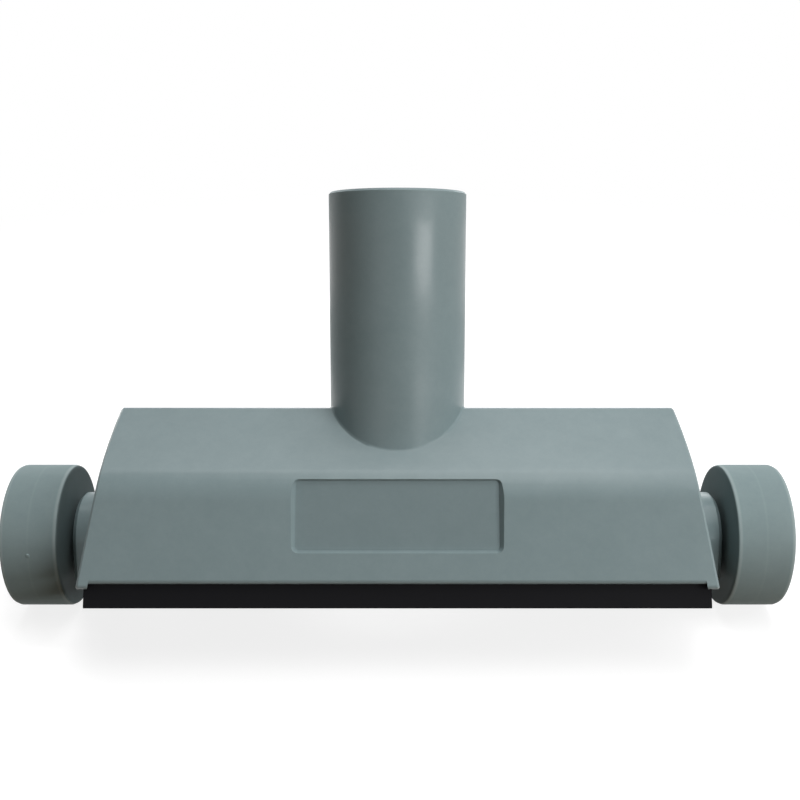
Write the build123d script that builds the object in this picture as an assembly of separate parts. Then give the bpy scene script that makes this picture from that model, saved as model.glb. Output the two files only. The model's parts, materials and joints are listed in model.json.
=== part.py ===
from build123d import *
import os
from math import asin, atan2, cos, degrees, hypot, radians, sin, sqrt, tan

# Flat suction nozzle for a pond vacuum: one moulded hood with a pipe socket, two rubber lips and two wheels.
# The pieces are built upright: X runs along the wheel axis, -Y is the front, Z runs up the socket's axis
# and the origin is where that axis meets the wheel axis. They are then leaned back together onto the rear
# lip, which is how the nozzle stands when nobody holds it. Lengths are in millimetres, angles in degrees.

# Pipe socket
SOCKET_BORE = 35.0
SOCKET_WALL = 2.5
SOCKET_RISE = 62.0
SOCKET_DEPTH = 45.0
STOP_LEDGE = 2.0
SOCKET_RIM_CHAMFER = 0.6
SOCKET_ROOT_CHAMFER = 0.5

# Hood, from its ridge down to the open mouth
RIDGE_LENGTH = 162.6
RIDGE_FORWARD = 5.5
BEND_HALF_DEPTH = 29.8
BEND_DROP = 17.8
SIDE_SLOPE = 73.0
END_SLOPE = 13.7
END_BOW_RADIUS = 150.0
HOOD_HEIGHT = 44.6
HOOD_WALL = 2.5
END_WALL = 1.8
CORNER_FOOT_WIDTH = 3.0
CORNER_FOOT_DROP = 1.3
BEND_RADIUS = 16.0
RIDGE_ROUND = 2.0
EDGE_BREAK = 0.5
RIM_ROUND = 1.2

# Sunken field on the front of the hood
FIELD_WIDTH = 58.4
FIELD_HEIGHT = 21.4
FIELD_DEPTH = 1.65
FIELD_TILT = 1.8
FIELD_DRAFT = 35.0
FIELD_CORNER = 1.0
FIELD_RISE = 1.8

# Rubber lips, each bonded behind a long wall of the hood and butted against a moulded ledge
LIP_THICKNESS = 3.0
LIP_REACH = 6.8
LIP_ROOT = 9.0
LIP_TIP_ROUND = 0.5
LIP_END_PLAY = 0.15
LEDGE_HEIGHT = 1.8

# Wheel bosses on the hood's ends
AXLE_DROP = 40.2
BOSS_RADIUS = 12.9
BOSS_LENGTH = 4.7
BOSS_DROP = 10.4
BOSS_WALL = 2.5
BOSS_CHAMFER = 1.2
COLLAR_RADIUS = 6.5
COLLAR_HEIGHT = 1.4
SLEEVE_LENGTH = 7.0

# Axle pins
PIN_RADIUS = 4.0
PIN_HEAD_RADIUS = 7.0
PIN_HEAD_HEIGHT = 2.0
PIN_HEAD_CHAMFER = 0.5
PIN_BARB = 0.6
PIN_BARB_LENGTH = 4.0
PIN_SLIT = 1.4
PIN_PLAY = 0.05

# Wheels
WHEEL_RADIUS = 21.3
WHEEL_WIDTH = 16.9
WHEEL_RIM = 3.2
WHEEL_WEB = 3.0
WHEEL_HUB_WALL = 3.6
WHEEL_RIBS = 6
WHEEL_RIB_WIDTH = 1.8
WHEEL_RIB_SHARE = 0.7
WHEEL_EASE = 1.2
WHEEL_BORE_PLAY = 0.08
WHEEL_END_PLAY = 0.3

# Heights and places that follow from the sizes above
RIDGE_Z = AXLE_DROP
FOOT_Z = RIDGE_Z - HOOD_HEIGHT
END_FOOT_Z = FOOT_Z - CORNER_FOOT_DROP
BEND_Z = RIDGE_Z - BEND_DROP
SOCKET_RADIUS = SOCKET_BORE / 2 + SOCKET_WALL
SOCKET_TOP_Z = RIDGE_Z + SOCKET_RISE
SOCKET_FLOOR_Z = SOCKET_TOP_Z - SOCKET_DEPTH
LIP_TIP_Z = FOOT_Z - LIP_REACH
LIP_ROOT_Z = FOOT_Z + LIP_ROOT
LEDGE_TOP_Z = LIP_ROOT_Z + LEDGE_HEIGHT
FAR = 2 * (RIDGE_LENGTH + SOCKET_TOP_Z)


def side_y(z, inset=0.0):
    """Distance from the socket's axis to a long wall of the hood at height z, moved in by a thickness."""
    side = radians(SIDE_SLOPE)
    return BEND_HALF_DEPTH + (BEND_Z - z) / tan(side) - inset / sin(side)


def end_x(z, inset=0.0, y=0.0):
    """Distance from the middle to a bowed end wall of the hood at height z and depth y, moved in."""
    end = radians(END_SLOPE)
    radius = END_BOW_RADIUS - inset
    bow = radius - sqrt(radius**2 - y**2)
    return RIDGE_LENGTH / 2 + (RIDGE_Z - z) * tan(end) - (inset + bow) / cos(end)


BOSS_FACE_X = end_x(0) + BOSS_LENGTH
BOSS_ROOM_X = BOSS_FACE_X - BOSS_WALL
SLEEVE_INNER_X = BOSS_ROOM_X - SLEEVE_LENGTH
WHEEL_INNER_X = BOSS_FACE_X + COLLAR_HEIGHT + WHEEL_END_PLAY
WHEEL_OUTER_X = WHEEL_INNER_X + WHEEL_WIDTH
WHEEL_BORE = PIN_RADIUS + WHEEL_BORE_PLAY
WHEEL_HUB_RADIUS = WHEEL_BORE + WHEEL_HUB_WALL
HUB_FACE_X = WHEEL_OUTER_X - WHEEL_EASE - PIN_HEAD_HEIGHT - WHEEL_END_PLAY
LIP_FACE_Y = side_y(FOOT_Z, HOOD_WALL)

# Lean that brings the rounded outer edge of the rear lip down to the floor under the wheels
LIP_EDGE_Y = side_y(LIP_TIP_Z + LIP_TIP_ROUND, HOOD_WALL + LIP_TIP_ROUND)
LIP_EDGE_DROP = -LIP_TIP_Z - LIP_TIP_ROUND
LIP_SWING = hypot(LIP_EDGE_Y, LIP_EDGE_DROP)
LEAN = degrees(asin((WHEEL_RADIUS - LIP_TIP_ROUND) / LIP_SWING) - atan2(LIP_EDGE_DROP, LIP_EDGE_Y))


def crossing(first, second):
    """Point where two lines meet, each given as a point and a direction."""
    (y1, z1), (dy1, dz1) = first
    (y2, z2), (dy2, dz2) = second
    along = ((y2 - y1) * dz2 - (z2 - z1) * dy2) / (dy1 * dz2 - dz1 * dy2)
    return (y1 + along * dy1, z1 + along * dz1)


def hood_outline(inset, foot):
    """Front foot, front bend, ridge, rear bend and rear foot of the hood, moved in by a thickness."""
    corners = [(-side_y(foot), foot), (-BEND_HALF_DEPTH, BEND_Z), (-RIDGE_FORWARD, RIDGE_Z),
               (BEND_HALF_DEPTH, BEND_Z), (side_y(foot), foot)]
    walls = []
    for (y, z), (next_y, next_z) in zip(corners, corners[1:]):
        length = hypot(next_y - y, next_z - z)
        direction = ((next_y - y) / length, (next_z - z) / length)
        walls.append(((y + inset * direction[1], z - inset * direction[0]), direction))
    bends = [crossing(wall, next_wall) for wall, next_wall in zip(walls, walls[1:])]
    return [(-side_y(foot, inset), foot), *bends, (side_y(foot, inset), foot)]


def hood_section(inset, foot, rim_round=0.0):
    """Cross-section of the hood across its length, with its bends and ridge rounded."""
    outline = hood_outline(inset, foot)
    face = make_face(Polyline(*outline, close=True))
    radii = [rim_round, BEND_RADIUS - inset, max(RIDGE_ROUND - inset, 0), BEND_RADIUS - inset, rim_round]
    for (y, z), radius in zip(outline, radii):
        if radius > 0:
            corner = face.vertices().sort_by_distance((y, z, 0))[0]
            face = fillet(corner, radius)
    return Plane.YZ * face


def end_wedge(inset=0.0):
    """Everything between the two end walls, which slope out downwards and are bowed like barrel staves."""
    radius = END_BOW_RADIUS - inset
    stave = Rot(0, -END_SLOPE, 0) * Pos(-radius, 0, 0) * Cylinder(radius, 2 * FAR)
    right = Pos(end_x(0, inset), 0, 0) * stave
    return right & mirror(right, Plane.YZ)


def solid_hood():
    """Hood before it is hollowed: its ends and corners reach a little lower than its long walls."""
    whole = extrude(hood_section(0, END_FOOT_Z, RIM_ROUND), FAR, both=True) & end_wedge()
    faces = whole.faces().sort_by(Axis.X)
    whole = chamfer(faces[0].edges() + faces[-1].edges(), EDGE_BREAK)
    inner = end_wedge(CORNER_FOOT_WIDTH)
    middle = extrude(hood_section(0, FOOT_Z, RIM_ROUND), FAR, both=True) & inner
    return (whole - inner) + middle


def hollow(inset, foot):
    """Space inside the hood's walls, down to a given height."""
    return extrude(hood_section(inset, foot), FAR, both=True) & end_wedge(END_WALL)


def lip_ledges():
    """Ledges along the inside of the long walls, above the lips."""
    slab = Pos(0, 0, (LIP_ROOT_Z + LEDGE_TOP_Z) / 2) * Box(FAR, FAR, LEDGE_HEIGHT)
    return (hollow(HOOD_WALL, FOOT_Z) - hollow(HOOD_WALL + LIP_THICKNESS, FOOT_Z)) & slab


def sunken_field():
    """Block that sinks the rectangular field into the front wall: deeper towards the bend, drafted sides."""
    slope = radians(SIDE_SLOPE)
    front = Plane(origin=(0, -BEND_HALF_DEPTH, BEND_Z), x_dir=(1, 0, 0), z_dir=(0, -sin(slope), cos(slope)))
    middle = front * Pos(0, FIELD_RISE - FIELD_HEIGHT / 2, -FIELD_DEPTH) * Rot(-FIELD_TILT, 0, 0)
    draft_width = 2 * FIELD_DEPTH * tan(radians(FIELD_DRAFT))
    ground = RectangleRounded(FIELD_WIDTH - draft_width, FIELD_HEIGHT - draft_width, FIELD_CORNER)
    return extrude(middle * ground, 2 * FIELD_DEPTH, taper=-FIELD_DRAFT)


def along_x(radius, start, stop):
    """Cylinder on the wheel axis from one X to another."""
    return Pos((start + stop) / 2, 0, 0) * Rot(0, 90, 0) * Cylinder(radius, stop - start)


def arch(radius, drop, stop):
    """Upright arch over the wheel axis, with straight legs down to a drop below it, from the middle to one X."""
    crown = CenterArc((0, 0), radius, 0, 180)
    legs = Polyline((-radius, 0), (-radius, -drop), (radius, -drop), (radius, 0))
    return extrude(Plane.YZ * make_face([crown, legs]), stop)


def wheel_boss():
    """Right-hand boss on the end wall, arched and open below, with a collar that keeps the wheel off it."""
    boss = arch(BOSS_RADIUS, BOSS_DROP, BOSS_FACE_X)
    crown = boss.faces().sort_by(Axis.X)[-1].edges().sort_by(Axis.Z)[1:]
    boss = chamfer(crown, BOSS_CHAMFER)
    collar = along_x(COLLAR_RADIUS, BOSS_ROOM_X, BOSS_FACE_X + COLLAR_HEIGHT)
    return boss - end_wedge(END_WALL) + collar


def boss_room():
    """Hollow of the right-hand boss, round its sleeve, and the hole for the axle pin."""
    room = arch(BOSS_RADIUS - BOSS_WALL, 2 * BOSS_DROP, BOSS_ROOM_X)
    room -= along_x(COLLAR_RADIUS, SLEEVE_INNER_X, BOSS_ROOM_X)
    return room + along_x(PIN_RADIUS + PIN_PLAY, 0, BOSS_FACE_X + 2 * COLLAR_HEIGHT)


def is_socket_root(edge):
    """True for the edges where the socket's outside meets the hood's roof."""
    middle = edge @ 0.5
    on_socket = abs(hypot(middle.X, middle.Y) - SOCKET_RADIUS) < EDGE_BREAK / 10
    return on_socket and BEND_Z < middle.Z < RIDGE_Z + EDGE_BREAK and not edge.is_closed


def nozzle_body():
    """The one-piece moulding: hood, socket, ledges for the lips and wheel bosses."""
    socket = Pos(0, 0, (SOCKET_TOP_Z + BEND_Z) / 2) * Cylinder(SOCKET_RADIUS, SOCKET_TOP_Z - BEND_Z)
    socket = chamfer(socket.edges().sort_by(Axis.Z)[-1], SOCKET_RIM_CHAMFER)
    boss, room = wheel_boss(), boss_room()
    body = solid_hood() + socket
    root = body.edges().filter_by(lambda edge: is_socket_root(edge))
    body = chamfer(root, SOCKET_ROOT_CHAMFER) - hollow(HOOD_WALL, LIP_TIP_Z)
    body += lip_ledges()
    body += boss + mirror(boss, Plane.YZ)
    body -= room + mirror(room, Plane.YZ)
    bore = Pos(0, 0, SOCKET_FLOOR_Z + SOCKET_DEPTH) * Cylinder(SOCKET_BORE / 2, 2 * SOCKET_DEPTH)
    neck_radius = SOCKET_BORE / 2 - STOP_LEDGE
    neck = Pos(0, 0, (SOCKET_FLOOR_Z + BEND_Z) / 2) * Cylinder(neck_radius, SOCKET_TOP_Z - BEND_Z)
    return body - bore - neck - sunken_field()


def rubber_lip():
    """Rear lip: a flat strip against the inside of the wall, cut to fit between the end walls."""
    outer, inner = HOOD_WALL, HOOD_WALL + LIP_THICKNESS
    face = make_face(Polyline(
        (side_y(LIP_TIP_Z, inner), LIP_TIP_Z), (side_y(LIP_TIP_Z, outer), LIP_TIP_Z),
        (side_y(LIP_ROOT_Z, outer), LIP_ROOT_Z), (side_y(LIP_ROOT_Z, inner), LIP_ROOT_Z), close=True))
    face = fillet(face.vertices().group_by(Axis.Y)[0], LIP_TIP_ROUND)
    half_length = end_x(FOOT_Z, END_WALL, LIP_FACE_Y) - LIP_END_PLAY
    strip = extrude(Plane.YZ * face, half_length, both=True)
    return strip & end_wedge(END_WALL + LIP_END_PLAY)


def axle_pin():
    """Right-hand snap-in axle: a flat head outside the wheel, a plain shank and a split barbed tip."""
    head_x = HUB_FACE_X + WHEEL_END_PLAY
    head_face_x = head_x + PIN_HEAD_HEIGHT
    barb_x = SLEEVE_INNER_X - PIN_PLAY
    tip_x = barb_x - PIN_BARB_LENGTH
    outline = Polyline(
        (tip_x, 0), (tip_x, PIN_RADIUS - PIN_BARB), (barb_x, PIN_RADIUS + PIN_BARB), (barb_x, PIN_RADIUS),
        (head_x, PIN_RADIUS), (head_x, PIN_HEAD_RADIUS), (head_face_x, PIN_HEAD_RADIUS), (head_face_x, 0),
        close=True)
    pin = revolve(Plane.XZ * make_face(outline), Axis.X)
    pin = chamfer(pin.edges().group_by(Axis.X)[-1], PIN_HEAD_CHAMFER)
    slit_length = 2 * (BOSS_ROOM_X - tip_x)
    return pin - Pos(tip_x, 0, 0) * Box(slit_length, PIN_SLIT, 4 * PIN_RADIUS)


def eased_edge(face_x, inwards):
    """Three points where the tread's edge is broken by two chamfers, from the wheel's face to its tread."""
    share = 1 - sin(radians(45))
    return [(face_x, WHEEL_RADIUS - WHEEL_EASE),
            (face_x + inwards * share * WHEEL_EASE, WHEEL_RADIUS - share * WHEEL_EASE),
            (face_x + inwards * WHEEL_EASE, WHEEL_RADIUS)]


def wheel():
    """Right-hand wheel: tread, closed inner face, hub and ribs, open on its outer side."""
    rim_inner = WHEEL_RADIUS - WHEEL_RIM
    web_x = WHEEL_INNER_X + WHEEL_WEB
    face = make_face(Polyline(
        (WHEEL_INNER_X, WHEEL_BORE), *eased_edge(WHEEL_INNER_X, 1), *reversed(eased_edge(WHEEL_OUTER_X, -1)),
        (WHEEL_OUTER_X, rim_inner), (web_x, rim_inner), (web_x, WHEEL_HUB_RADIUS),
        (HUB_FACE_X, WHEEL_HUB_RADIUS), (HUB_FACE_X, WHEEL_BORE), close=True))
    disc = revolve(Plane.XZ * face, Axis.X)
    rib_depth = (HUB_FACE_X - web_x) * WHEEL_RIB_SHARE
    rib_low, rib_high = WHEEL_HUB_RADIUS - WHEEL_HUB_WALL / 2, WHEEL_RADIUS - WHEEL_RIM / 2
    rib = Pos(web_x + rib_depth / 2, 0, (rib_low + rib_high) / 2) * Box(
        rib_depth, WHEEL_RIB_WIDTH, rib_high - rib_low)
    for turn in range(WHEEL_RIBS):
        disc += Rot(360 / WHEEL_RIBS * turn, 0, 0) * rib
    return disc


rear_lip, right_wheel, right_pin = rubber_lip(), wheel(), axle_pin()
pieces = {
    "nozzle_body": nozzle_body(),
    "front_lip": mirror(rear_lip, Plane.XZ),
    "rear_lip": rear_lip,
    "wheel_left": mirror(right_wheel, Plane.YZ),
    "wheel_right": right_wheel,
    "axle_pin_left": mirror(right_pin, Plane.YZ),
    "axle_pin_right": right_pin,
}

# The leaning nozzle stands on the floor at height 0, with its box centred over the origin
lean = Rot(-LEAN, 0, 0)
box = Compound(children=[lean * piece for piece in pieces.values()]).bounding_box()
standing = Pos(0, -box.center().Y, WHEEL_RADIUS) * lean

os.makedirs("parts", exist_ok=True)
for name, piece in pieces.items():
    export_step(standing * piece, os.path.join("parts", name + ".step"))

print(f"lean {LEAN:.4f}, axle at {standing.position}")
print("socket mouth", (standing * Pos(0, 0, SOCKET_TOP_Z)).position)
print("socket floor", (standing * Pos(0, 0, SOCKET_FLOOR_Z)).position)
print("mouth of the hood", (standing * Pos(0, 0, FOOT_Z)).position)
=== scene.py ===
import json
from math import cos, radians, sin

import bpy
import numpy as np
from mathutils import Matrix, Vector


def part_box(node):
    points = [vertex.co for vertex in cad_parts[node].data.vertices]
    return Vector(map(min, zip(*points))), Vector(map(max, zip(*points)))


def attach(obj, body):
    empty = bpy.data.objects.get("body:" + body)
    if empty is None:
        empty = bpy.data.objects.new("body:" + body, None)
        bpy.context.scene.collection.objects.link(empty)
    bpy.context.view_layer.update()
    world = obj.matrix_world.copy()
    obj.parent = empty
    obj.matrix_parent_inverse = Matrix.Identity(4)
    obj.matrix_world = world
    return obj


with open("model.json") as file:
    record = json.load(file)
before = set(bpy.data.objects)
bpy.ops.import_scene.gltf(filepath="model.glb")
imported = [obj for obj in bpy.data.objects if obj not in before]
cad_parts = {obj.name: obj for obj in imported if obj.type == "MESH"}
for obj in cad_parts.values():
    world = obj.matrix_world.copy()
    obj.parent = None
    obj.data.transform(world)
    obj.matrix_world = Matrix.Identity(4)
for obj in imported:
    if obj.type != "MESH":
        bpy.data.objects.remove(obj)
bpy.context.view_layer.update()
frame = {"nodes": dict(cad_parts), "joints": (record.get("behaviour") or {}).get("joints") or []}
nodes = frame["nodes"]

# Nozzle body: hood, pipe socket and wheel bosses in one injection moulding of grey polypropylene.
# The mould was lightly blasted, so the plastic has a satin sheen, duller near the socket's root and rim, and
# its colour clouds a little where the melt flowed. The sunken field's ground is darkened with painted shade.
MM = 0.001
CLOUD_SIZE = 12 * MM
GLOSS_PATCH_SIZE = 5 * MM
GLOSS_SPREAD = 0.015
PIT_SIZE = 0.6 * MM
PIT_DEPTH = 0.04 * MM
PIT_STRENGTH = 0.12
PLASTIC_IOR = 1.49
MERGE_REACH = 0.002 * MM
SHARP_ANGLE = 32


def linear(hex_colour):
    """Linear RGBA of an sRGB hex colour: each channel is divided by 12.92 or raised to the power 2.4."""
    channels = np.array([int(hex_colour[place:place + 2], 16) for place in (1, 3, 5)]) / 255
    curve = np.where(channels <= 0.04045, channels / 12.92, ((channels + 0.055) / 1.055) ** 2.4)
    return (*curve.tolist(), 1.0)


def add_node(tree, kind, settings=None, **inputs):
    """Adds one shader node and sets each input to a value or links it to another node's output socket.

    An input goes by its name, with _ for a space, or by its number, as in i0. A Mix node's colours are its
    inputs 6 and 7, and the mixed colour is its output 2.
    """
    node = tree.nodes.new(kind)
    for name, value in (settings or {}).items():
        setattr(node, name, value)
    for name, value in inputs.items():
        numbered = name[0] == "i" and name[1:].isdigit()
        socket = node.inputs[int(name[1:]) if numbered else name.replace("_", " ")]
        if isinstance(value, bpy.types.NodeSocket):
            tree.links.new(value, socket)
        else:
            socket.default_value = value
    return node


def new_material(name):
    """Node material with a Principled shader wired to its output; returns it, its tree and the shader."""
    material = bpy.data.materials.new(name)
    material.use_nodes = True
    tree = material.node_tree
    return material, tree, tree.nodes["Principled BSDF"]


def moulded_plastic(name, base_hex, cloud_hex, roughness, specular):
    """Satin moulded plastic: mottled colour from the melt and the fine pits of a blasted mould.

    The mottling is noise that runs from the clouds down to specks of 0.2 mm, each size half as wide as the
    last. The pits are drawn coarser than real ones, so that they show at this distance.
    """
    material, tree, shader = new_material(name)
    place = add_node(tree, "ShaderNodeTexCoord").outputs["Object"]
    clouds = add_node(tree, "ShaderNodeTexNoise", Vector=place, Scale=1 / CLOUD_SIZE, Detail=6.0,
                      Roughness=0.85)
    colour = add_node(tree, "ShaderNodeMix", {"data_type": "RGBA"}, Factor=clouds.outputs["Fac"],
                      i6=linear(base_hex), i7=linear(cloud_hex))
    tree.links.new(colour.outputs[2], shader.inputs["Base Color"])
    patches = add_node(tree, "ShaderNodeTexNoise", Vector=place, Scale=1 / GLOSS_PATCH_SIZE, Detail=4.0,
                       Roughness=0.7)
    gloss = add_node(tree, "ShaderNodeMapRange", Value=patches.outputs["Fac"],
                     To_Min=roughness - GLOSS_SPREAD, To_Max=roughness + GLOSS_SPREAD)
    tree.links.new(gloss.outputs["Result"], shader.inputs["Roughness"])
    pits = add_node(tree, "ShaderNodeTexNoise", Vector=place, Scale=1 / PIT_SIZE, Detail=2.0, Roughness=0.5)
    bump = add_node(tree, "ShaderNodeBump", Height=pits.outputs["Fac"], Strength=PIT_STRENGTH,
                    Distance=PIT_DEPTH)
    tree.links.new(bump.outputs["Normal"], shader.inputs["Normal"])
    shader.inputs["IOR"].default_value = PLASTIC_IOR
    shader.inputs["Specular IOR Level"].default_value = specular
    return material


def tint_over(material, share, tint, blend_type):
    """Lays a tint over a material's colour, mixed or multiplied in by a share, a socket from 0 to 1."""
    tree = material.node_tree
    base_colour = tree.nodes["Principled BSDF"].inputs["Base Color"]
    tinted = add_node(tree, "ShaderNodeMix", {"data_type": "RGBA", "blend_type": blend_type}, Factor=share,
                      i6=base_colour.links[0].from_socket, i7=tint)
    tree.links.new(tinted.outputs[2], base_colour)


def dress_node(name, material):
    """Gives a node its material and shades it smooth: doubles are merged and large faces set the normals."""
    piece = nodes[name]
    piece.data.materials.clear()
    piece.data.materials.append(material)
    piece.data.polygons.foreach_set("use_smooth", np.ones(len(piece.data.polygons), bool))
    weld = piece.modifiers.new("weld", "WELD")
    weld.merge_threshold = MERGE_REACH
    split = piece.modifiers.new("split", "EDGE_SPLIT")
    split.split_angle = radians(SHARP_ANGLE)
    normals = piece.modifiers.new("normals", "WEIGHTED_NORMAL")
    normals.keep_sharp = True


FIELD_MIDDLE = (0.0, -31.8 * MM, 43.9 * MM)
FIELD_RECLINE = 56.3
FIELD_HALF_WIDTH = 28.0 * MM
FIELD_HALF_HEIGHT = 9.6 * MM
FIELD_HALF_DEPTH = 2.4 * MM
FIELD_FADE = 0.5 * MM
FIELD_PAINTED_SHADE = 0.86


def painted_field_shade(material):
    """Paints shade on the ground of the sunken field: a box mask in the field's own frame, faded past its
    sides.
    """
    tree = material.node_tree
    place = add_node(tree, "ShaderNodeTexCoord").outputs["Object"]
    field = add_node(tree, "ShaderNodeMapping", {"vector_type": "TEXTURE"}, Vector=place,
                     Location=FIELD_MIDDLE, Rotation=(radians(FIELD_RECLINE), 0.0, 0.0))
    across = add_node(tree, "ShaderNodeSeparateXYZ", Vector=field.outputs[0])
    inside = 1.0
    for axis, half in (("X", FIELD_HALF_WIDTH), ("Y", FIELD_HALF_HEIGHT), ("Z", FIELD_HALF_DEPTH)):
        away = add_node(tree, "ShaderNodeMath", {"operation": "ABSOLUTE"}, i0=across.outputs[axis])
        within = add_node(tree, "ShaderNodeMapRange", Value=away.outputs[0], From_Min=half,
                          From_Max=half + FIELD_FADE, To_Min=1.0, To_Max=0.0)
        both = add_node(tree, "ShaderNodeMath", {"operation": "MULTIPLY"}, i0=within.outputs[0], i1=inside)
        inside = both.outputs[0]
    tint_over(material, inside, (FIELD_PAINTED_SHADE, FIELD_PAINTED_SHADE, FIELD_PAINTED_SHADE, 1.0), "MULTIPLY")


AXLE_Y, AXLE_Z = frame["joints"][0]["pos_m"][1:]
LEAN = 16.67
SOCKET_ROOT = 42 * MM
SOCKET_TOP = 102 * MM
SOCKET_GLOSS = ((0.0, 1.0), (0.25, 1.6), (0.35, 1.6), (0.62, 1.0), (0.78, 1.0), (0.98, 1.6))
GLOSS_DRIFT = 22 * MM
DRIFT_PATCH_SIZE = 7 * MM


def socket_gloss(material):
    """Varies the gloss up the socket: the roughness is multiplied by a factor that runs through the pairs.

    Each pair is a share of the way from the socket's root to its rim and the factor there, which eases from
    one pair to the next. Heights are measured from the wheel axis along the leaning socket and drift up and
    down in patches. Below the root the factor is one.
    """
    tree = material.node_tree
    roughness = tree.nodes["Principled BSDF"].inputs["Roughness"]
    place = add_node(tree, "ShaderNodeTexCoord").outputs["Object"]
    upright = add_node(tree, "ShaderNodeMapping", {"vector_type": "TEXTURE"}, Vector=place,
                       Location=(0.0, AXLE_Y, AXLE_Z), Rotation=(radians(-LEAN), 0.0, 0.0))
    level = add_node(tree, "ShaderNodeSeparateXYZ", Vector=upright.outputs[0]).outputs["Z"]
    drift = add_node(tree, "ShaderNodeTexNoise", Vector=place, Scale=1 / DRIFT_PATCH_SIZE, Detail=5.0,
                     Roughness=0.75)
    shift = add_node(tree, "ShaderNodeMapRange", {"clamp": False}, Value=drift.outputs["Fac"],
                     To_Min=-GLOSS_DRIFT / 2, To_Max=GLOSS_DRIFT / 2)
    height = add_node(tree, "ShaderNodeMath", {"operation": "ADD"}, i0=level, i1=shift.outputs["Result"])
    varied = roughness.links[0].from_socket
    socket_length = SOCKET_TOP - SOCKET_ROOT
    for (low_share, low_factor), (high_share, high_factor) in zip(SOCKET_GLOSS, SOCKET_GLOSS[1:]):
        step = add_node(tree, "ShaderNodeMapRange", {"interpolation_type": "SMOOTHSTEP"},
                        Value=height.outputs[0], From_Min=SOCKET_ROOT + low_share * socket_length,
                        From_Max=SOCKET_ROOT + high_share * socket_length, To_Min=1.0,
                        To_Max=high_factor / low_factor)
        product = add_node(tree, "ShaderNodeMath", {"operation": "MULTIPLY"}, i0=varied,
                           i1=step.outputs["Result"])
        varied = product.outputs[0]
    tree.links.new(varied, roughness)


body_plastic = moulded_plastic("grey_moulded_polypropylene", base_hex="#7b8d8f", cloud_hex="#8d9ea1",
                               roughness=0.30, specular=0.29)
# Painted shade: the ground of the sunken field is darkened.
painted_field_shade(body_plastic)
socket_gloss(body_plastic)
dress_node("nozzle_body", body_plastic)

# Lips: flat strips of black rubber, one behind each long wall of the hood, that close its mouth to the floor.
# They are cut from calendered sheet and bonded to the wall, so they are dull with a faint bloom.
BLOOM_SIZE = 9 * MM
GRAIN_SIZE = 0.6 * MM
GRAIN_DEPTH = 0.05 * MM
GRAIN_STRENGTH = 0.2
RUBBER_ROUGHNESS = 0.7
RUBBER_SPECULAR = 0.12


def sheet_rubber(name, base_hex, bloom_hex):
    """Dull sheet rubber with a faint pale bloom and the grain of the calender rolls, drawn coarse to show."""
    material, tree, shader = new_material(name)
    place = add_node(tree, "ShaderNodeTexCoord").outputs["Object"]
    bloom = add_node(tree, "ShaderNodeTexNoise", Vector=place, Scale=1 / BLOOM_SIZE, Detail=4.0,
                     Roughness=0.6)
    colour = add_node(tree, "ShaderNodeMix", {"data_type": "RGBA"}, Factor=bloom.outputs["Fac"],
                      i6=linear(base_hex), i7=linear(bloom_hex))
    tree.links.new(colour.outputs[2], shader.inputs["Base Color"])
    grain = add_node(tree, "ShaderNodeTexNoise", Vector=place, Scale=1 / GRAIN_SIZE, Detail=2.0)
    bump = add_node(tree, "ShaderNodeBump", Height=grain.outputs["Fac"], Strength=GRAIN_STRENGTH,
                    Distance=GRAIN_DEPTH)
    tree.links.new(bump.outputs["Normal"], shader.inputs["Normal"])
    shader.inputs["Roughness"].default_value = RUBBER_ROUGHNESS
    shader.inputs["Specular IOR Level"].default_value = RUBBER_SPECULAR
    return material


lip_rubber = sheet_rubber("black_sheet_rubber", base_hex="#07070a", bloom_hex="#0d0d10")
dress_node("front_lip", lip_rubber)
dress_node("rear_lip", lip_rubber)

# Wheels: moulded in the same grey plastic, with a plain tread, a closed inner face and ribs outside.
# They turn on snap-in pins and are duller than the hood. The mould's halves meet in a faint pale line round
# the tread. The tread's edges are paled as rubbed wear and as a painted highlight on their rounding, and the
# inner face beside the hood is darkened in patches with painted shade.
WHEEL_ROUGHNESS = 0.50
WHEEL_SPECULAR = 0.03
PALE_MARK_AND_HIGHLIGHT_HEX = "#b0bebe"
LINE_HALF_WIDTH = 0.6 * MM
LINE_SHARE = 0.10
EDGE_INSET = 0.8 * MM
EDGE_HALF_WIDTH = 0.8 * MM
EDGE_WEAR_AND_HIGHLIGHT_SHARE = 0.55
PAINTED_SHADE_DEPTH = 0.2 * MM
PAINTED_SHADE_FADE = 0.5 * MM
INNER_PAINTED_SHADE = 0.50
PAINTED_SHADE_PATCH_SIZE = 6 * MM
PAINTED_SHADE_THINNEST = 0.85
NOISE_LOW = 0.3
NOISE_HIGH = 0.7


def across_wheel(tree):
    """Socket with the distance |x| from the middle of the nozzle, which is the same for both wheels."""
    place = add_node(tree, "ShaderNodeTexCoord").outputs["Object"]
    along = add_node(tree, "ShaderNodeSeparateXYZ", Vector=place).outputs["X"]
    return add_node(tree, "ShaderNodeMath", {"operation": "ABSOLUTE"}, i0=along).outputs[0]


def pale_ring(material, ring_x, half_width, share):
    """Pales the wheel along one circle: the share eases off with the distance from the plane |x| = ring_x."""
    tree = material.node_tree
    offset = add_node(tree, "ShaderNodeMath", {"operation": "SUBTRACT"}, i0=across_wheel(tree), i1=ring_x)
    away = add_node(tree, "ShaderNodeMath", {"operation": "ABSOLUTE"}, i0=offset.outputs[0])
    ring = add_node(tree, "ShaderNodeMapRange", {"interpolation_type": "SMOOTHSTEP"}, Value=away.outputs[0],
                    From_Min=0.0, From_Max=half_width, To_Min=share, To_Max=0.0)
    tint_over(material, ring.outputs["Result"], linear(PALE_MARK_AND_HIGHLIGHT_HEX), "MIX")


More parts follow.
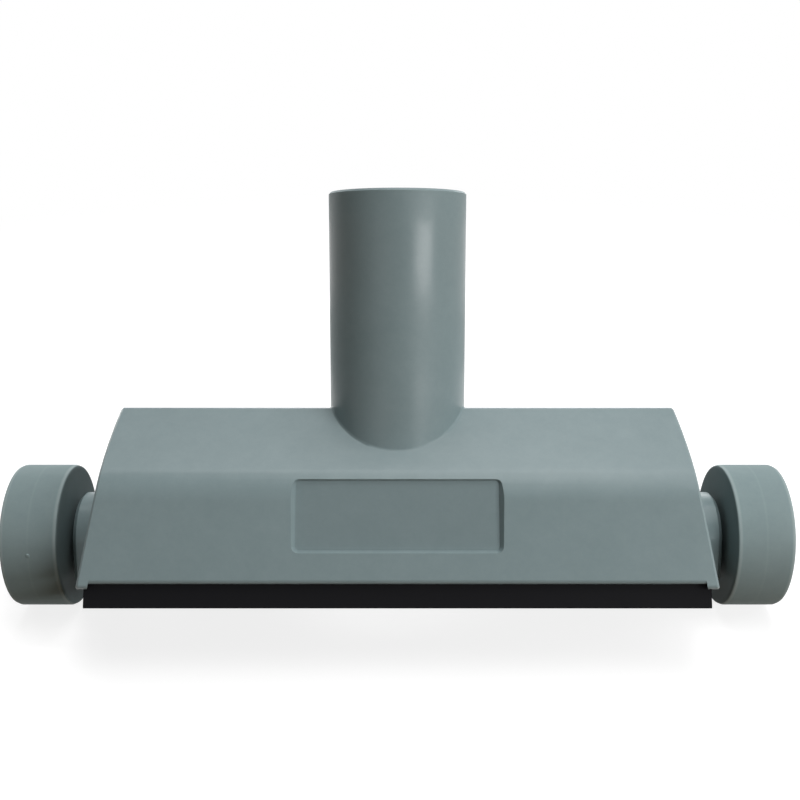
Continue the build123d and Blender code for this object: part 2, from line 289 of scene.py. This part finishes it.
def painted_inner_shade(material, face_x):
    """Paints shade on the inner face in patches: full at |x| = face_x and gone just round the tread's edge.
    """
    tree = material.node_tree
    place = add_node(tree, "ShaderNodeTexCoord").outputs["Object"]
    shade_end = face_x + PAINTED_SHADE_DEPTH
    on_face = add_node(tree, "ShaderNodeMapRange", {"interpolation_type": "SMOOTHSTEP"},
                       Value=across_wheel(tree), From_Min=shade_end, From_Max=shade_end + PAINTED_SHADE_FADE, To_Min=1.0,
                       To_Max=0.0)
    patches = add_node(tree, "ShaderNodeTexNoise", Vector=place, Scale=1 / PAINTED_SHADE_PATCH_SIZE, Detail=4.0,
                       Roughness=0.7)
    shade_patches = add_node(tree, "ShaderNodeMapRange", Value=patches.outputs["Fac"], From_Min=NOISE_LOW,
                    From_Max=NOISE_HIGH, To_Min=PAINTED_SHADE_THINNEST, To_Max=1.0)
    shaded = add_node(tree, "ShaderNodeMath", {"operation": "MULTIPLY"}, i0=on_face.outputs["Result"],
                       i1=shade_patches.outputs["Result"])
    tint_over(material, shaded.outputs[0], (INNER_PAINTED_SHADE, INNER_PAINTED_SHADE, INNER_PAINTED_SHADE, 1.0), "MULTIPLY")


wheel_plastic = moulded_plastic("grey_moulded_wheel_plastic", base_hex="#839496", cloud_hex="#95a6a7",
                                roughness=WHEEL_ROUGHNESS, specular=WHEEL_SPECULAR)
wheel_low, wheel_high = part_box("wheel_right")
TREAD_MIDDLE = (wheel_low[0] + wheel_high[0]) / 2
pale_ring(wheel_plastic, TREAD_MIDDLE, LINE_HALF_WIDTH, LINE_SHARE)
# Pale rings at the tread's edges: rubbed wear and a painted highlight on the rounded edges.
pale_ring(wheel_plastic, wheel_low[0] + EDGE_INSET, EDGE_HALF_WIDTH, EDGE_WEAR_AND_HIGHLIGHT_SHARE)
pale_ring(wheel_plastic, wheel_high[0] - EDGE_INSET, EDGE_HALF_WIDTH, EDGE_WEAR_AND_HIGHLIGHT_SHARE)
# Painted shade on the wheels' inner faces beside the hood.
painted_inner_shade(wheel_plastic, wheel_low[0])
dress_node("wheel_left", wheel_plastic)
dress_node("wheel_right", wheel_plastic)

# Gate nubs: the low round stumps left on the parting line where each wheel was snipped from its runner.
# They are the wheel's own plastic, one on each tread, and stop at whatever angle the wheel was left.
# The wheels stand on the floor, so the axle is as high as the tread's radius.
TREAD_RADIUS = AXLE_Z
NUB_RADIUS = 0.60 * MM
NUB_HEIGHT = 0.18 * MM
NUB_SINK = 0.15 * MM
NUB_RINGS = 8
NUB_COLUMNS = 24
LEFT_NUB_ANGLE = 14.4
RIGHT_NUB_ANGLE = 200.0


def gate_nub(name, middle_x, angle):
    """Closed lens on the tread: a profile of radius sin(t) and height cos(t), pole to pole, turned round.

    The upper half is squashed to the nub's height and the lower half to the depth it is sunk into the tread.
    The angle is in degrees round the wheel from its front, upwards.
    """
    outward = np.array([0.0, -cos(radians(angle)), sin(radians(angle))])
    along = np.array([1.0, 0.0, 0.0])
    round_tread = np.cross(outward, along)
    foot = np.array([middle_x, AXLE_Y, AXLE_Z]) + TREAD_RADIUS * outward
    t = np.linspace(0, np.pi, NUB_RINGS + 1)[1:-1, None]
    turn = np.linspace(0, 2 * np.pi, NUB_COLUMNS, endpoint=False)[None, :]
    rise = np.where(np.cos(t) > 0, NUB_HEIGHT, NUB_SINK) * np.cos(t)
    wide = NUB_RADIUS * np.sin(t)
    rings = (foot + rise[..., None] * outward + (wide * np.cos(turn))[..., None] * along
             + (wide * np.sin(turn))[..., None] * round_tread)
    points = np.vstack([foot + NUB_HEIGHT * outward, rings.reshape(-1, 3), foot - NUB_SINK * outward])
    column = np.arange(NUB_COLUMNS)
    beside = (column + 1) % NUB_COLUMNS
    upper = 1 + NUB_COLUMNS * np.arange(NUB_RINGS - 2)[:, None]
    lower = upper + NUB_COLUMNS
    band = np.stack([upper + column, lower + column, lower + beside, upper + beside], axis=-1).reshape(-1, 4)
    crown = np.stack([np.zeros_like(column), 1 + column, 1 + beside], axis=-1)
    last = lower[-1]
    root = np.stack([np.full_like(column, len(points) - 1), last + beside, last + column], axis=-1)
    mesh = bpy.data.meshes.new(name)
    mesh.from_pydata(points.tolist(), [], crown.tolist() + band.tolist() + root.tolist())
    mesh.polygons.foreach_set("use_smooth", np.ones(len(mesh.polygons), bool))
    mesh.materials.append(wheel_plastic)
    nub = bpy.data.objects.new(name, mesh)
    bpy.context.scene.collection.objects.link(nub)
    return nub


for name, wheel_body, middle_x, angle in (("gate_nub_left", "left_wheel", -TREAD_MIDDLE, LEFT_NUB_ANGLE),
                                          ("gate_nub_right", "right_wheel", TREAD_MIDDLE, RIGHT_NUB_ANGLE)):
    nub = gate_nub(name, middle_x, angle)
    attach(nub, wheel_body)

# Axle pins: headed pins moulded in a slightly darker batch of the same plastic, as dull as the wheels.
# Each is pushed through its wheel from outside, and its split barbed tip snaps into the boss.
pin_plastic = moulded_plastic("grey_moulded_pin_plastic", base_hex="#728384", cloud_hex="#849595",
                              roughness=WHEEL_ROUGHNESS, specular=WHEEL_SPECULAR)
dress_node("axle_pin_left", pin_plastic)
dress_node("axle_pin_right", pin_plastic)

# Floor: a plain pale sheet of paper that runs far behind the nozzle. It looks white and takes the nozzle's
# soft shadow, while the light that it throws up onto the nozzle is dim and a little warm.
FLOOR_HALF = 4.0
WHITE = linear("#ffffff")
BOUNCE_HEX = "#6b5336"
SHADOW_HEX = "#b3b3b3"
PAPER_ROUGHNESS = 0.9
PAPER_GLOW = 0.78
SHADOW_NEAR = 0.25
SHADOW_FAR = 0.55


def seen_directly(tree):
    """Socket that is 1 for rays from the camera, reflections and glass, and 0 for light bouncing around."""
    ray = add_node(tree, "ShaderNodeLightPath")
    seen = add_node(tree, "ShaderNodeMath", {"operation": "MAXIMUM"}, i0=ray.outputs["Is Camera Ray"],
                    i1=ray.outputs["Is Glossy Ray"])
    seen = add_node(tree, "ShaderNodeMath", {"operation": "MAXIMUM"}, i0=seen.outputs[0],
                    i1=ray.outputs["Is Transmission Ray"])
    return seen.outputs[0]


def paper_sweep(name):
    """White paper that glows where it is seen: near the nozzle it takes shadows, and these fade out."""
    material, tree, bounce = new_material(name)
    bounce.inputs["Base Color"].default_value = linear(BOUNCE_HEX)
    bounce.inputs["Roughness"].default_value = PAPER_ROUGHNESS
    bounce.inputs["Specular IOR Level"].default_value = 0.0
    white = add_node(tree, "ShaderNodeEmission", Color=WHITE, Strength=1.0)
    pale = add_node(tree, "ShaderNodeEmission", Color=WHITE, Strength=PAPER_GLOW)
    shadowed = add_node(tree, "ShaderNodeBsdfDiffuse", Color=linear(SHADOW_HEX))
    near_paper = add_node(tree, "ShaderNodeAddShader", i0=pale.outputs[0], i1=shadowed.outputs[0])
    place = add_node(tree, "ShaderNodeTexCoord").outputs["Object"]
    away = add_node(tree, "ShaderNodeVectorMath", {"operation": "LENGTH"}, i0=place)
    fade = add_node(tree, "ShaderNodeMapRange", {"interpolation_type": "SMOOTHSTEP"},
                    Value=away.outputs["Value"], From_Min=SHADOW_NEAR, From_Max=SHADOW_FAR)
    paper = add_node(tree, "ShaderNodeMixShader", i0=fade.outputs[0], i1=near_paper.outputs[0],
                     i2=white.outputs[0])
    mixed = add_node(tree, "ShaderNodeMixShader", i0=seen_directly(tree), i1=bounce.outputs[0],
                     i2=paper.outputs[0])
    tree.links.new(mixed.outputs[0], tree.nodes["Material Output"].inputs["Surface"])
    return material


floor_corners = [(FLOOR_HALF * x, FLOOR_HALF * y, 0.0) for x, y in ((-1, -1), (1, -1), (1, 1), (-1, 1))]
floor_mesh = bpy.data.meshes.new("floor")
floor_mesh.from_pydata(floor_corners, [], [(0, 1, 2, 3)])
floor_mesh.materials.append(paper_sweep("pale_paper_sweep"))
floor = bpy.data.objects.new("floor", floor_mesh)
bpy.context.scene.collection.objects.link(floor)

# Light: three soft boxes overhead, of which the strip draws the pale line along the hood's bend, and two on
# the right. A low window at the front right makes the sheen on the socket, a weak box fills in from the
# front left and three light the rear. The room is dim and looks white wherever it is seen directly.
ROOM_HEX = "#f9fdff"
ROOM_STRENGTH = 0.01
AIM = Vector((0.0, 0.0, 0.06))
# Each row is a lamp's name, place, width and height in metres, and power in watts.
LIGHTS = (
    ("strip_soft_box", (0.00, 0.34, 1.20), 1.0, 0.15, 3.1),
    ("ceiling_soft_box", (0.16, 0.12, 1.20), 0.6, 0.6, 3.0),
    ("front_ceiling_soft_box", (0.25, -0.25, 1.20), 0.6, 0.6, 2.1),
    ("side_soft_box", (0.70, -0.30, 0.95), 0.5, 0.5, 1.3),
    ("window_soft_box", (0.57, -0.55, 0.295), 0.42, 0.05, 2.9),
    ("right_soft_box", (1.00, 0.05, 0.40), 0.4, 0.4, 0.8),
    ("left_front_soft_box", (-0.35, -0.70, 0.18), 0.4, 0.4, 0.30),
    ("back_soft_box", (0.00, 0.80, 0.90), 0.6, 0.6, 1.2),
    ("rear_soft_box", (0.10, 1.05, 0.42), 0.7, 0.5, 4.0),
    ("left_rear_soft_box", (-0.70, 0.90, 0.30), 0.4, 0.4, 2.0),
)
for name, place, width, height, power in LIGHTS:
    lamp = bpy.data.lights.new(name, "AREA")
    lamp.shape = "RECTANGLE"
    lamp.size = width
    lamp.size_y = height
    lamp.energy = power
    soft_box = bpy.data.objects.new(name, lamp)
    soft_box.location = place
    soft_box.rotation_euler = (AIM - Vector(place)).to_track_quat("-Z", "Y").to_euler()
    bpy.context.scene.collection.objects.link(soft_box)
world = bpy.data.worlds.new("pale_room")
bpy.context.scene.world = world
world.use_nodes = True
room = world.node_tree
dim_room = room.nodes["Background"]
dim_room.inputs["Color"].default_value = linear(ROOM_HEX)
dim_room.inputs["Strength"].default_value = ROOM_STRENGTH
plain_white = add_node(room, "ShaderNodeBackground", Color=WHITE, Strength=1.0)
chosen = add_node(room, "ShaderNodeMixShader", i0=seen_directly(room), i1=dim_room.outputs[0],
                  i2=plain_white.outputs[0])
room.links.new(chosen.outputs[0], room.nodes["World Output"].inputs["Surface"])

# Camera: in front of the nozzle and above it, where the photograph was taken from.
# The angles and distances are those of a camera fitted to the socket, the hood's edges and the wheels.
IMAGE_WIDTH = 800
FOCAL_PIXELS = 1028.0
CENTRE_COLUMN = 397.5
CENTRE_ROW = 432.2
CAMERA_Y = -275.19 * MM
CAMERA_Z = 186.2 * MM
LOOK_DOWN = 25.71
SENSOR_WIDTH = 36.0
NEAR_CLIP = 10 * MM
camera_data = bpy.data.cameras.new("camera")
camera_data.sensor_width = SENSOR_WIDTH
camera_data.lens = FOCAL_PIXELS / IMAGE_WIDTH * SENSOR_WIDTH
camera_data.shift_x = (IMAGE_WIDTH / 2 - CENTRE_COLUMN) / IMAGE_WIDTH
camera_data.shift_y = (CENTRE_ROW - IMAGE_WIDTH / 2) / IMAGE_WIDTH
camera_data.clip_start = NEAR_CLIP
camera = bpy.data.objects.new("camera", camera_data)
camera.location = (0.0, CAMERA_Y, CAMERA_Z)
camera.rotation_euler = (radians(90 - LOOK_DOWN), 0.0, 0.0)
bpy.context.scene.collection.objects.link(camera)
bpy.context.scene.camera = camera
bpy.context.scene.view_settings.view_transform = "Standard"
